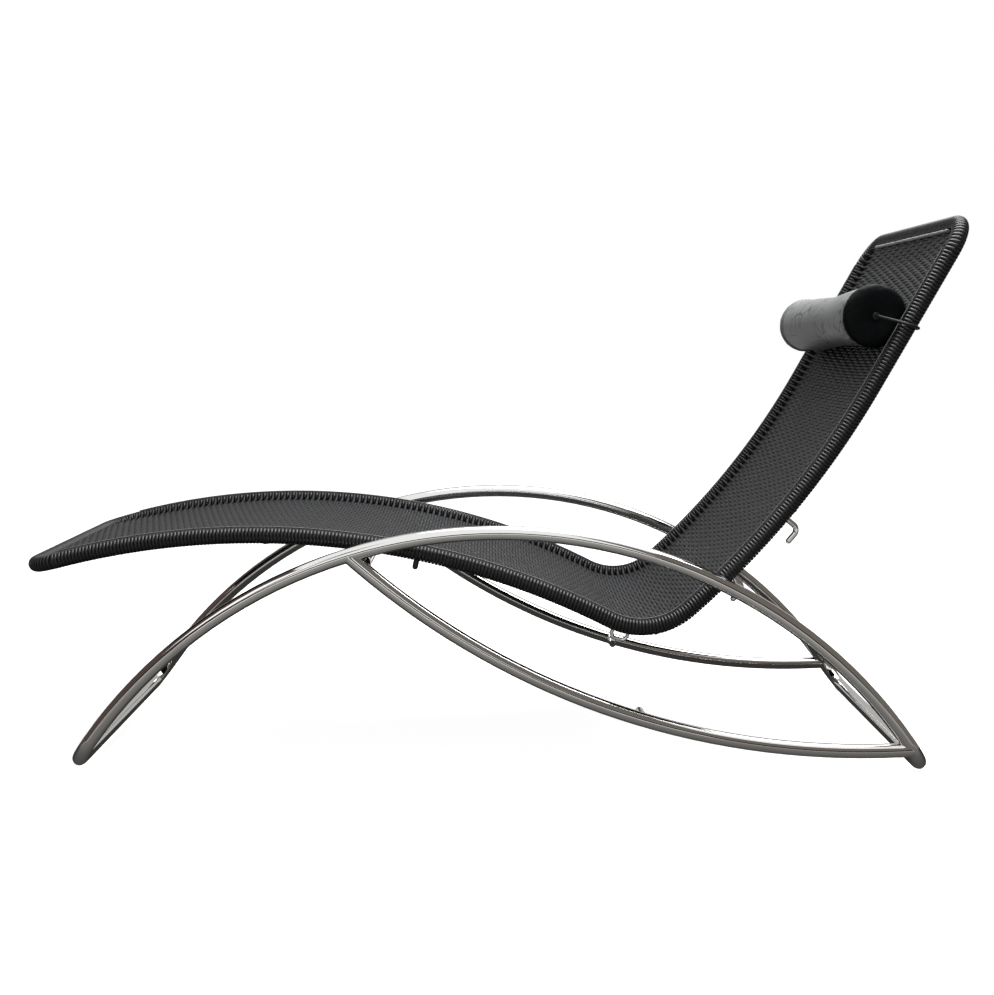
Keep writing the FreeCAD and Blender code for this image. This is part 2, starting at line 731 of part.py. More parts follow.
def make_bolster():
    skin = number(named("leather_thick"))
    leather = cut("leather", bolster_solid("bolster_outside", 0),
                  [bolster_solid("bolster_inside", skin), cord_hole("leather_hole")])
    core = bolster_solid("core_whole", skin + number(named("sleeve_gap")))
    keep("bolster_core", cut("core_bored", core, [cord_hole("core_hole")]))
    end = number(bolster_length)
    stretches = (("bolster_cover", -bolster_seam, bolster_seam),
                 ("near_end_cap", -end, -bolster_seam),
                 ("far_end_cap", bolster_seam, end))
    for name, low, high in stretches:
        part = doc.addObject("Part::Common", name + "_part")
        part.Base = leather
        part.Tool = slab(name + "_slab", low, high)
        keep(name, part)
    centre, _ = bolster_frame()
    for name, side in SIDES:
        facing = axes_placement(centre, X * side, Y * side, Z)
        keep(name + "_cord_eyelet", turned(name + "_eyelet", eyelet_outline(), facing))


def eyelet_outline():
    """A flanged ring seated on the cap's centre, round the cord."""
    face = number(bolster_length) / 2 - number(named("cap_dimple"))
    thick = number(named("eyelet_thick"))
    flange = number(named("eyelet_dia")) / 2 - thick / 2
    return [(cord_bore, face), (flange, face), (flange, face + thick / 2), (flange - thick / 2, face + thick),
            (cord_bore, face + thick)]


def make_cord():
    """A closed loop: through the bolster, out round each side tube and across behind the back."""
    centre, lift = bolster_frame()
    tilt = number(named("cord_tilt"))
    back = level(profile.lean - 90 + tilt)
    depth = lift / math.cos(math.radians(tilt))
    wrap = (wrap_dia / 2 + named("cord_dia") / 2 + named("fit_gap")) / math.cos(math.radians(tilt))
    exit_y = number(bolster_length) / 2
    # In the loop's plane, the slant from the cap's bend to the side tube touches both circles
    bend = named("cord_bend")
    run_y, run_z = half_shell - exit_y, depth - number(bend)
    reach = math.hypot(run_y, run_z)
    # The two circles turn the same way, so the slant runs parallel to the line of centres, shifted
    slant = math.degrees(math.atan2(run_z, run_y) - math.asin((number(wrap) - number(bend)) / reach))
    length = math.sqrt(reach ** 2 - (number(wrap) - number(bend)) ** 2)
    route = Route(centre, Y)
    axis = Y.cross(back)
    route.run(exit_y)
    route.bend(bend, slant, axis)
    route.run(length)
    route.bend(wrap, HALF_TURN - slant, axis)
    route.run(2 * half_shell)
    route.bend(wrap, HALF_TURN - slant, axis)
    route.run(length)
    route.bend(bend, slant, axis)
    route.run(exit_y)
    print("elastic cord closes within %.3f mm" % (route.point - centre).Length)
    keep("elastic_cord", rod("cord_loop", route, named("cord_dia")))


# Build, check and write

# A cut that takes away less than this many cubic millimetres has failed
LEAST_CUT = 1.0

outlines = make_arches_and_rails()
make_floor_sleeves()
make_front_bar(outlines)
make_pegs(outlines)
fittings = make_fittings(make_frame())
make_winding(fittings)
make_weave()
make_bolster()
make_cord()
doc.recompute()

for thing in doc.Objects:
    if "Invalid" in thing.State or "Error" in thing.State:
        raise RuntimeError("%s did not build: %s" % (thing.Label, thing.State))
    if thing.TypeId == "Part::Cut" and thing.Base.Shape.Volume - thing.Shape.Volume < LEAST_CUT:
        raise RuntimeError("%s took nothing away" % thing.Name)
for label, thing in nodes.items():
    if thing.Shape.isNull() or not thing.Shape.isValid() or not thing.Shape.Solids:
        raise RuntimeError("%s has no valid solid" % label)

os.makedirs("parts", exist_ok=True)
for label, thing in nodes.items():
    thing.Shape.exportStep("parts/%s.step" % label)
    print("%-20s solids %d  volume %10.1f" % (label, len(thing.Shape.Solids), thing.Shape.Volume))
box = FreeCAD.BoundBox()
for thing in nodes.values():
    box.add(thing.Shape.optimalBoundingBox(False))
place, bar = arch_peg_place(), front_bar_place()
print("arch pegs at %.1f %.1f, back heading there %.2f degrees" % (place.x, place.z, hook_heading()))
print("front bar at %.1f %.1f, rail pegs at height %.2f" % (bar.x, bar.z, rail_height(number(named("rail_peg_x")))))
print("head stretch starts at %.1f %.1f and leans %.2f degrees"
      % (profile.head_start.x, profile.head_start.z, profile.lean))
print("box x %.1f %.1f  y %.1f %.1f  z %.1f %.1f" % (box.XMin, box.XMax, box.YMin, box.YMax, box.ZMin, box.ZMax))
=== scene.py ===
"""The looks of a woven lounge chair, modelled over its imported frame. Metres, +X towards the head, +Z up."""

import json
import math

import bpy
from bpy.props import FloatProperty, FloatVectorProperty, PointerProperty
from mathutils import Matrix, Vector

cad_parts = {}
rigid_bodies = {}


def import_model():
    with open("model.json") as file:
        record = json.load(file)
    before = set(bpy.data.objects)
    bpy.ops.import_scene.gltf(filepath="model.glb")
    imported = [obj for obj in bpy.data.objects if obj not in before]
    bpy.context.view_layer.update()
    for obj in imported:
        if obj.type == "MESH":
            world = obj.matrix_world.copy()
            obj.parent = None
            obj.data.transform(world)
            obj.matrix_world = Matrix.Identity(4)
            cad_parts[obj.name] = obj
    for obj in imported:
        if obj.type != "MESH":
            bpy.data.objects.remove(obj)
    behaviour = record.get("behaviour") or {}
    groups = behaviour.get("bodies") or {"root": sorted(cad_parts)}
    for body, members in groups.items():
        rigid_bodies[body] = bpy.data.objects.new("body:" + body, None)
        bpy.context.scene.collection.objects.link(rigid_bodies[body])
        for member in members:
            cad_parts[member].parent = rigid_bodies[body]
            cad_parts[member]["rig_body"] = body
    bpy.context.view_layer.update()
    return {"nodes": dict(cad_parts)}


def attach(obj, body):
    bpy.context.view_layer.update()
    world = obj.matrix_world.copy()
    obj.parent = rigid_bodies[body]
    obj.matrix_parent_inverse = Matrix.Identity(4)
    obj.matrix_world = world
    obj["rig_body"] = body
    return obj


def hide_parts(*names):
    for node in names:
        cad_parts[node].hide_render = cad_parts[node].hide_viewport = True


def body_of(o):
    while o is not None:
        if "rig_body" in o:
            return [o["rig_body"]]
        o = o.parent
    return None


bl_info = {
    "name": "Woven lounge chair",
    "version": (1, 0, 0),
    "blender": (4, 5, 0),
    "location": "View3D > Sidebar > Lounge chair",
    "description": "Models the weave, the winding, the bolster and the finishes of a lounge chair",
    "category": "Object",
}

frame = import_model()
SIDES = (("near", -1), ("far", 1))


# Sizes and colours

class ChairSizes(bpy.types.PropertyGroup):
    """Sizes of the woven shell and the bolster; the shell's curved profile is given further down."""

    half_shell: FloatProperty(name="Half width", description="Middle to a side tube's centre line",
                              default=0.25, unit="LENGTH")
    corner: FloatProperty(name="Corner radius", description="Corners of the shell frame",
                          default=0.06, unit="LENGTH")
    winding_radius: FloatProperty(name="Winding radius", description="Outside of the wound side tubes",
                                  default=0.014, unit="LENGTH")
    weft_pitch: FloatProperty(name="Weft pitch", description="From one cross strand to the next",
                              default=0.00615, unit="LENGTH")
    warp_pitch: FloatProperty(name="Warp pitch", description="From one lengthwise strand to the next",
                              default=0.0218, unit="LENGTH")
    strand_width: FloatProperty(name="Strand width", description="Flat cross strand",
                                default=0.0069, unit="LENGTH")
    strand_thick: FloatProperty(name="Strand thickness", description="Flat cross strand",
                                default=0.0034, unit="LENGTH")
    warp_width: FloatProperty(name="Warp width", description="Flat lengthwise band inside the weave",
                              default=0.0160, unit="LENGTH")
    warp_thick: FloatProperty(name="Warp thickness", description="Flat lengthwise band inside the weave",
                              default=0.0012, unit="LENGTH")
    pairing: FloatProperty(name="Pairing", description="Share by which cross strands pair up at the foot",
                           default=0.16, min=0.0, max=0.3)
    edge_cord: FloatProperty(name="Edge cord", description="Thin cord laid along each side tube",
                             default=0.0024, unit="LENGTH")
    bolster_radius: FloatProperty(name="Bolster radius", description="Stuffed body at its middle",
                                  default=0.0550, unit="LENGTH")
    waist: FloatProperty(name="Bolster waist", description="How far the body draws in near its middle",
                         default=0.0050, unit="LENGTH")
    cap_radius: FloatProperty(name="Cap radius", description="Bolster at its end seams",
                              default=0.0550, unit="LENGTH")
    slump: FloatProperty(name="Slump", description="How far the bolster's far half slides down the back",
                         default=0.013, unit="LENGTH")
    seam: FloatProperty(name="Bolster seam", description="From the bolster's middle to its end seams",
                        default=0.215, unit="LENGTH")
    bolster_place: FloatProperty(name="Bolster place", description="From the head end to the bolster's axis",
                                 default=0.207, unit="LENGTH")
    bolster_lift: FloatProperty(name="Bolster lift", description="Bolster's axis above the side tubes'",
                                default=0.0498, unit="LENGTH")
    sag: FloatProperty(name="Dip", description="Dip of the sheet at mid width",
                       default=0.010, unit="LENGTH")


class ChairColours(bpy.types.PropertyGroup):
    """Colours of the finishes, linear."""

    strand_dark: FloatVectorProperty(name="Strand, dark", description="Woven strand in its darker places",
                                     subtype="COLOR", size=3, default=(0.016, 0.017, 0.019))
    strand_light: FloatVectorProperty(name="Strand, light", description="Woven strand in its lighter places",
                                      subtype="COLOR", size=3, default=(0.036, 0.037, 0.040))
    # The cover and the caps are one dark leather: the cover's grey is painted light and the caps' near-black
    # is painted shade.
    leather_body_painted_light: FloatVectorProperty(name="Cover leather", description="Leather round the bolster",
                                      subtype="COLOR", size=3, default=(0.250, 0.262, 0.258))
    leather_cap_painted_shade: FloatVectorProperty(name="Cap leather", description="Leather of the end caps",
                                     subtype="COLOR", size=3, default=(0.0025, 0.0040, 0.0048))
    thread: FloatVectorProperty(name="Edge thread", description="Thin edge cords and the braid at the head",
                                subtype="COLOR", size=3, default=(0.30, 0.305, 0.31))
    chrome: FloatVectorProperty(name="Chrome", description="Chromed tube",
                                subtype="COLOR", size=3, default=(0.82, 0.82, 0.81))


def sizes():
    return bpy.context.scene.chair_sizes


def colours():
    return bpy.context.scene.chair_colours


# Shapes that stay as they are, in metres unless their comment says otherwise

# Heights of the strands' waves, as shares of a cross strand's thickness
WEFT_WAVE = 0.47
WARP_WAVE = 0.1
# Share of a pitch that stays free of lengthwise bands at each edge
WARP_ROOM = 0.3
# Room that a cross strand's last wave leaves before its end rises to the side tube
END_ROOM = 0.011
# The end's rise: how far in from the tube, how high, share of the strand's section
END_RISE = ((0.0190, 0.0022, 0.95), (0.0158, 0.0052, 0.86))
# The end lies round the tube: angle in degrees, distance from the tube's centre line, share of the section
END_WRAP = ((38, 0.0154), (58, 0.0147), (76, 0.0134), (92, 0.0118))
END_SECTION = 0.84
# The first and last cross strands start a little inside the end windings and sit a little high
START_TUCK = 0.0025
END_LIFT = 0.003
# Lengths from an end over which a change comes in: pairing, lift, dip at the foot, dip at the head
PAIRING_FADE = (0.20, 0.60)
LIFT_FADE = (0.012, 0.05)
FOOT_DIP_FADE = (0.02, 0.16)
HEAD_DIP_FADE = (0.012, 0.060)
# Edge cord: its place round the side tube in degrees, and its height over the winding
EDGE_CORD_ANGLE = 72
EDGE_CORD_HEIGHT = 0.0016
# Braid at the head: thickness and radius of its two strands, length of a twist, its gap to the winding,
# its height, and how far it runs into each corner
BRAID_STRAND = 0.0034
BRAID_RADIUS = 0.0018
BRAID_TWIST = 0.0100
BRAID_INSET = 0.0035
BRAID_HEIGHT = 0.0068
BRAID_OVERRUN = 0.004
# Wound strand: half its thickness, and half its width as a share of the pitch
WOUND_HALF_THICK = 0.0010
WOUND_HALF_WIDTH = 0.52
# Bolster before it is stuffed: how much slimmer, depth of a cap, its rounded rim, size of the remeshed net
UNSTUFFED = 0.004
CAP_DEPTH = 0.0115
CAP_RIM = 0.007
NET = 0.0045
# How far stuffing may move any point
STUFFING_LIMIT = 0.006


# Shader maths

class Node:
    """A socket with arithmetic, and the tree that it belongs to."""

    def __init__(self, tree, socket):
        self.tree = tree
        self.socket = socket

    def make(self, kind, settings, inputs, output=0):
        """A new node with its settings, then its sockets' values or links; gives one of its outputs."""
        node = self.tree.nodes.new(kind)
        for name, value in settings.items():
            setattr(node, name, value)
        for name, value in inputs.items():
            if isinstance(value, Node):
                self.tree.links.new(value.socket, node.inputs[name])
            else:
                node.inputs[name].default_value = value
        return Node(self.tree, node.outputs[output])

    def maths(self, operation, first, second):
        return self.make("ShaderNodeMath", {"operation": operation}, {0: first, 1: second})

    def __add__(self, other):
        return self.maths("ADD", self, other)

    __radd__ = __add__

    def __mul__(self, other):
        return self.maths("MULTIPLY", self, other)

    __rmul__ = __mul__

    def __sub__(self, other):
        return self.maths("SUBTRACT", self, other)

    def __rsub__(self, other):
        return self.maths("SUBTRACT", other, self)

    def mix(self, first, second):
        """Blends two colours by this value."""
        return self.make("ShaderNodeMix", {"data_type": "RGBA"}, {0: self, 6: first, 7: second}, 2)


def new_material(name):
    """A material with its shader, and the object-space place that its patterns read."""
    material = bpy.data.materials.new(name)
    material.use_nodes = True
    shader = material.node_tree.nodes["Principled BSDF"]
    tree = material.node_tree
    place = Node(tree, tree.nodes.new("ShaderNodeTexCoord").outputs["Object"])
    return material, shader, place


def feed(shader, **values):
    """Sets or links the shader's sockets; a name's underscores stand for spaces."""
    for name, value in values.items():
        socket = shader.inputs[name.replace("_", " ")]
        if isinstance(value, Node):
            value.tree.links.new(value.socket, socket)
        else:
            socket.default_value = value


def solid(colour):
    return (colour[0], colour[1], colour[2], 1.0)


def noise(place, scale, detail=2.0):
    return place.make("ShaderNodeTexNoise", {}, {"Vector": place, "Scale": scale, "Detail": detail})


def bump(place, height, strength, distance):
    return place.make("ShaderNodeBump", {}, {"Height": height, "Strength": strength, "Distance": distance})


def strand_finish(name, dark, light, rough, shine=0.24):
    """Satin plastic strand: a little uneven in shade, with a fine grain."""
    material, shader, place = new_material(name)
    patches = noise(place, 22.0, 3.0)
    grain = noise(place, 900.0, 2.0)
    shade = patches * 0.8 + grain * 0.25
    feed(shader, Base_Color=shade.mix(solid(dark), solid(light)), Roughness=grain * 0.14 + rough,
         Specular_IOR_Level=shine, Normal=bump(place, grain, 0.25, 0.0003))
    return material


def polished_chrome():
    """Bright chrome, very slightly uneven, with faint wiping marks."""
    material, shader, place = new_material("polished_chrome")
    marks = noise(place, 40.0, 4.0)
    feed(shader, Base_Color=solid(colours().chrome), Metallic=1.0, Roughness=marks * 0.05 + 0.02)
    return material


def cover_leather():
    """Soft dark leather, lightened to grey as painted light: fine grain, soft patches and a field of
    branching creases, with painted shade in the creases.
    """
    material, shader, place = new_material("cover_leather")
    grain = place.make("ShaderNodeTexVoronoi", {"feature": "F1"}, {"Vector": place, "Scale": 700.0})
    patches = noise(place, 9.0, 3.0)
    drift = noise(place, 30.0, 2.0)
    wander = place.make("ShaderNodeVectorMath", {"operation": "ADD"},
                        {0: place, 1: drift.make("ShaderNodeVectorMath", {"operation": "SCALE"},
                                                 {0: drift, "Scale": 0.02})})
    cells = place.make("ShaderNodeTexVoronoi", {"feature": "DISTANCE_TO_EDGE"},
                       {"Vector": wander, "Scale": 27.0})
    line = place.make("ShaderNodeMapRange", {"clamp": True},
                      {"Value": cells, "From Min": 0.0, "From Max": 0.060, "To Min": 1.0, "To Max": 0.0})
    field = place.make("ShaderNodeMapRange", {"clamp": True},
                       {"Value": noise(place, 12.0, 1.0), "From Min": 0.46, "From Max": 0.56})
    crease = line * field
    colour = colours().leather_body_painted_light
    light = tuple(part * 1.15 for part in colour)
    body = patches.mix(solid(tuple(part * 0.86 for part in colour)), solid(light))
    # Along the creases the colour drops to 0.18 of the cover's: painted shade in the creases.
    crease_painted_shade = (crease * 0.95).mix(body, solid(tuple(part * 0.18 for part in colour)))
    feed(shader, Base_Color=crease_painted_shade, Roughness=grain * 0.10 + 0.46,
         Normal=bump(place, grain * 0.25 - crease, 0.5, 0.0009))
    return material


def cap_leather():
    """Dark leather, darkened further to near-black as painted shade, with a fine grain."""
    material, shader, place = new_material("cap_leather")
    grain = place.make("ShaderNodeTexVoronoi", {"feature": "F1"}, {"Vector": place, "Scale": 700.0})
    colour = colours().leather_cap_painted_shade
    shade = noise(place, 18.0, 3.0)
    feed(shader, Base_Color=shade.mix(solid(tuple(part * 0.7 for part in colour)), solid(colour)),
         Roughness=grain * 0.12 + 0.5, Specular_IOR_Level=0.12, Normal=bump(place, grain, 0.3, 0.0004))
    return material


def satin_black():
    """Black paint on the hidden tube, with slight unevenness."""
    material, shader, place = new_material("satin_black")
    feed(shader, Base_Color=noise(place, 60.0).mix((0.010, 0.010, 0.011, 1), (0.020, 0.020, 0.021, 1)),
         Roughness=0.45)
    return material


def braided_cord():
    """Elastic cord with its braid's small diagonal lines."""
    material, shader, place = new_material("braided_cord")
    braid = place.make("ShaderNodeTexWave", {"wave_type": "BANDS", "bands_direction": "DIAGONAL"},
                       {"Vector": place, "Scale": 260.0, "Distortion": 1.0}, 1)
    feed(shader, Base_Color=braid.mix((0.008, 0.008, 0.009, 1), (0.028, 0.028, 0.030, 1)), Roughness=0.55,
         Normal=bump(place, braid, 0.5, 0.0003))
    return material


def dress(thing, material):
    """Gives a piece one finish, in place of whatever it had."""
    thing.data.materials.clear()
    thing.data.materials.append(material)


# The shell's side profile, by its length from the foot end

class Profile:
    """The centre line of the side tubes: stretches given as a length and a turn in degrees."""

    START = Vector((-0.8025, 0.0, 0.359))
    PITCH = 14.7
    STRETCHES = ((0.060, 0.0), (1.354 * math.radians(41.6), -41.6), (0.1225 * math.radians(69.5), 69.5),
                 (1.485 * math.radians(19.2), 19.2), (0.315, 0.0))

    def __init__(self):
        self.length = sum(run for run, _ in self.STRETCHES)

    def at(self, s):
        """The place and the heading in radians at a length along the line."""
        point, heading = self.START.copy(), math.radians(self.PITCH)
        for index, (run, turn) in enumerate(self.STRETCHES):
            last = index == len(self.STRETCHES) - 1
            part = s if last else min(s, run)
            rate = math.radians(turn) / run
            mid = heading + rate * part / 2
            chord = part if not turn else 2 / rate * math.sin(rate * part / 2)
            point += Vector((math.cos(mid), 0, math.sin(mid))) * chord
            heading += rate * part
            s -= part
            if s <= 0:
                break
        return point, heading


profile = Profile()


def line_through(name, places, twist):
    """A curve through places, which a flat piece is bent along."""
    data = bpy.data.curves.new(name, "CURVE")
    data.dimensions = "3D"
    data.twist_mode = twist
    line = data.splines.new("POLY")
    line.points.add(len(places) - 1)
    for point, place in zip(line.points, places):
        point.co = (*place, 1.0)
    data.use_path = True
    thing = bpy.data.objects.new(name, data)
    bpy.context.scene.collection.objects.link(thing)
    return thing


def profile_curve():
    steps = 420
    places = [profile.at(profile.length * index / steps)[0] for index in range(steps + 1)]
    return line_through("profile_line", places, "Z_UP")


# Modelling helpers

def only(thing):
    """Selects one object and nothing else."""
    bpy.ops.object.select_all(action="DESELECT")
    thing.select_set(True)
    bpy.context.view_layer.objects.active = thing


def named_piece(name):
    """Names the object that was just made, and its mesh."""
    thing = bpy.context.object
    thing.name = name
    thing.data.name = name
    return thing


def modify(thing, kind, **settings):
    """Adds a modifier and applies it."""
    only(thing)
    bpy.ops.object.modifier_add(type=kind)
    modifier = thing.modifiers[-1]
    for name, value in settings.items():
        setattr(modifier, name, value)
    bpy.ops.object.modifier_apply(modifier=modifier.name)


def strand(name, routes, width, thick, across=None):
    """Flat strands along routes; the section is width along X, across along Y and thick along Z.

    A route's point may have a fourth value, its share of the section.
    """
    across = across or thick
    data = bpy.data.curves.new(name, "CURVE")
    data.dimensions = "3D"
    data.bevel_depth = 0.5
    data.bevel_resolution = 1
    data.use_fill_caps = True
    for route in routes:
        line = data.splines.new("POLY")
        line.points.add(len(route) - 1)
        for point, place in zip(line.points, route):
            point.co = (place[0] / width, place[1] / across, place[2] / thick, 1.0)
            point.radius = place[3] if len(place) > 3 else 1.0
    thing = bpy.data.objects.new(name, data)
    bpy.context.scene.collection.objects.link(thing)
    only(thing)
    bpy.ops.object.convert(target="MESH")
    thing = named_piece(name)
    thing.scale = (width, across, thick)
    bpy.ops.object.transform_apply(location=False, rotation=False, scale=True)
    bpy.ops.object.shade_smooth()
    return thing


def repeat(piece, count, step):
    """A row of copies of a piece along X."""
    modify(piece, "ARRAY", count=count, use_relative_offset=False, use_constant_offset=True,
           constant_offset_displace=(step, 0, 0))


def ease(value, low, high):
    """Runs smoothly from 0 at low to 1 at high."""
    part = min(max((value - low) / (high - low), 0.0), 1.0)
    return part * part * (3 - 2 * part)


def dip(y):
    """The sheet's height at a place across it, under the line between the side tubes."""
    return -sizes().sag * (1 - (y / sizes().half_shell) ** 2)


def weft_route(parity):
    """One cross strand; the first of each pair ends over the side tubes, the second under them."""
    s = sizes()
    x = s.weft_pitch * (parity + 0.5)
    hand = 1 if parity == 0 else -1
    quarter = s.warp_pitch / 4
    wave = s.strand_thick * WEFT_WAVE
    count = int((s.half_shell - s.winding_radius - END_ROOM) / quarter)
    route = []
    for index in range(-count, count + 1):
        y = index * quarter
        route.append((x, y, hand * math.cos(math.pi * y / s.warp_pitch) * wave))
    for side in (-1, 1):
        climb = [(x, side * (s.half_shell - inward), hand * height, share)
                 for inward, height, share in END_RISE]
        for angle, radius in END_WRAP:
            turn = math.radians(angle)
            y = s.half_shell - math.cos(turn) * radius
            climb.append((x, side * y, hand * math.sin(turn) * radius, END_SECTION))
        route = route + climb if side > 0 else climb[::-1] + route
    return route


def warp_routes():
    """One repeat of the flat lengthwise bands, which wave a little between the cross strands."""
    s = sizes()
    height = s.strand_thick * WARP_WAVE
    half_count = int((s.half_shell - s.winding_radius) / s.warp_pitch - WARP_ROOM)
    routes = []
    for number in range(-half_count, half_count + 1):
        sign = -1 if number % 2 == 0 else 1
        route = []
        for quarter in range(5):
            along = quarter / 4.0
            wave = math.sin(2 * math.pi * along)
            route.append((along * 2 * s.weft_pitch, number * s.warp_pitch, sign * wave * height))
        routes.append(route)
    return routes


def weave_start():
    """Where the first cross strand begins, from the foot end."""
    return sizes().winding_radius - START_TUCK


def pair_count():
    return int(round((profile.length - 2 * weave_start()) / (2 * sizes().weft_pitch)))


def pair_step():
    return (profile.length - 2 * weave_start()) / pair_count()


def stretch_pairs():
    """The sheet's stretches, as the CAD node that each stands for and its first and last pair of strands."""
    lengths = [run for run, _ in Profile.STRETCHES]
    seat = lengths[0] + lengths[1]
    back = seat + lengths[2]
    first_seat = int(round((seat - weave_start()) / pair_step()))
    first_back = int(round((back - weave_start()) / pair_step()))
    return (("leg_weave", 0, first_seat), ("seat_weave", first_seat, first_back),
            ("back_weave", first_back, pair_count()))


def repeat_along(piece, first, last):
    """Repeats one pair's worth of strand along x, which is still the length along the profile."""
    step = pair_step()
    piece.data.transform(Matrix.Diagonal((step / (2 * sizes().weft_pitch), 1, 1, 1)))
    repeat(piece, last - first, step)
    piece.data.transform(Matrix.Translation((weave_start() + first * step, 0, 0)))


def corner_limit(x):
    """How far out a strand may reach at a length along the profile, inside the frame's rounded corners."""
    s = sizes()
    short = s.corner - min(x, profile.length - x)
    inner = s.corner - s.winding_radius
    if short <= 0:
        return s.half_shell - s.winding_radius
    reach = math.sqrt(max(inner ** 2 - short ** 2, 0.0)) if short < inner else 0.0
    return s.half_shell - s.corner + reach


def settle(piece, paired):
    """Draws pairs together at the foot, fits the ends into the corners and lets the sheet dip."""
    s = sizes()
    step, start = pair_step(), weave_start()
    straight = s.half_shell - s.corner
    full = s.half_shell - s.winding_radius
    for vertex in piece.data.vertices:
        x, y, z = vertex.co
        away = min(x, profile.length - x)
        limit = corner_limit(x)
        if limit < full and abs(y) > straight:
            share = (abs(y) - straight) / (full - straight)
            vertex.co.y = math.copysign(straight + share * (limit - straight), y)
            z *= (limit - straight) / (full - straight)
        if paired:
            index = math.floor((x - start) / step)
            centre = start + (index + 0.5) * step
            draw = s.pairing * (1 - ease(x, *PAIRING_FADE))
            vertex.co.x = centre + (x - centre) * (1 - draw)
        slack = min(ease(x, *FOOT_DIP_FADE), ease(profile.length - x, *HEAD_DIP_FADE))
        vertex.co.z = z + dip(y) * slack + END_LIFT * (1 - ease(away, *LIFT_FADE))


def bend_along(thing, curve):
    modify(thing, "CURVE", object=curve, deform_axis="POS_X")


def profile_frame(s_along):
    """A place on the profile, with its heading and the sheet's upward normal."""
    point, heading = profile.at(s_along)
    along = Vector((math.cos(heading), 0, math.sin(heading)))
    return point, along, Vector((-math.sin(heading), 0, math.cos(heading)))


# Operators

class CHAIR_OT_chrome(bpy.types.Operator):
    """Gives the base, the hooks and the hoops their chrome, and the hidden frame its paint"""

    bl_idname = "chair.chrome"
    bl_label = "Chrome and paint"

    def execute(self, context):
        chrome, paint = polished_chrome(), satin_black()
        shell_bright = ("hook", "hoop")
        for name, thing in frame["nodes"].items():
            bright = "base" in body_of(thing) or any(word in name for word in shell_bright)
            dress(thing, chrome if bright else paint)
        return {"FINISHED"}


class CHAIR_OT_weave(bpy.types.Operator):
    """Weaves the sheet: cross strands in pairs over the lengthwise ones, with cords along its edges"""

    bl_idname = "chair.weave"
    bl_label = "Woven sheet"

    def execute(self, context):
        s, c, curve = sizes(), colours(), profile_curve()
        finish = strand_finish("woven_strand", c.strand_dark, c.strand_light, 0.36)
        for node, first, last in stretch_pairs():
            wefts = strand(node + "_wefts", [weft_route(0), weft_route(1)], s.strand_width, s.strand_thick)
            warps = strand(node + "_warps", warp_routes(), s.warp_width, s.warp_thick, s.warp_width)
            for piece in (wefts, warps):
                repeat_along(piece, first, last)
                settle(piece, piece is wefts)
                bend_along(piece, curve)
                dress(piece, finish)
                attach(piece, "shell")
            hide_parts(node)
        self.trims(curve)
        bpy.data.objects.remove(curve)
        return {"FINISHED"}

    def trims(self, curve):
        """A thin cord along each side tube, and a braid where the sheet meets the head tube."""
        s, c = sizes(), colours()
        thread = strand_finish("edge_thread", tuple(part * 0.6 for part in c.thread), c.thread, 0.42)
        turn = math.radians(EDGE_CORD_ANGLE)
        radius = s.winding_radius + EDGE_CORD_HEIGHT
        run = profile.length - 2 * s.corner
        steps = 260
        for name, side in SIDES:
            y = side * (s.half_shell - math.cos(turn) * radius)
            z = math.sin(turn) * radius
            route = [(s.corner + run * index / steps, y, z) for index in range(steps + 1)]
            cord = strand(name + "_edge_cord", [route], s.edge_cord, s.edge_cord)
            bend_along(cord, curve)
            self.finish(cord, thread)
        routes = []
        x = profile.length - s.winding_radius - BRAID_INSET
        width = s.half_shell - s.corner + BRAID_OVERRUN
        steps = int(2 * width / BRAID_TWIST * 8)
        for half in (0, math.pi):
            route = []
            for index in range(steps + 1):
                y = -width + 2 * width * index / steps
                angle = 2 * math.pi * y / BRAID_TWIST + half
                route.append((x + BRAID_RADIUS * math.cos(angle), y,
                              BRAID_HEIGHT + BRAID_RADIUS * math.sin(angle)))
            routes.append(route)
        braid = strand("head_braid", routes, BRAID_STRAND, BRAID_STRAND)
        bend_along(braid, curve)
        bright = tuple(part * 1.9 for part in c.thread)
        self.finish(braid, strand_finish("braid_thread", c.thread, bright, 0.42))

    def finish(self, piece, material):
        dress(piece, material)
        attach(piece, "shell")


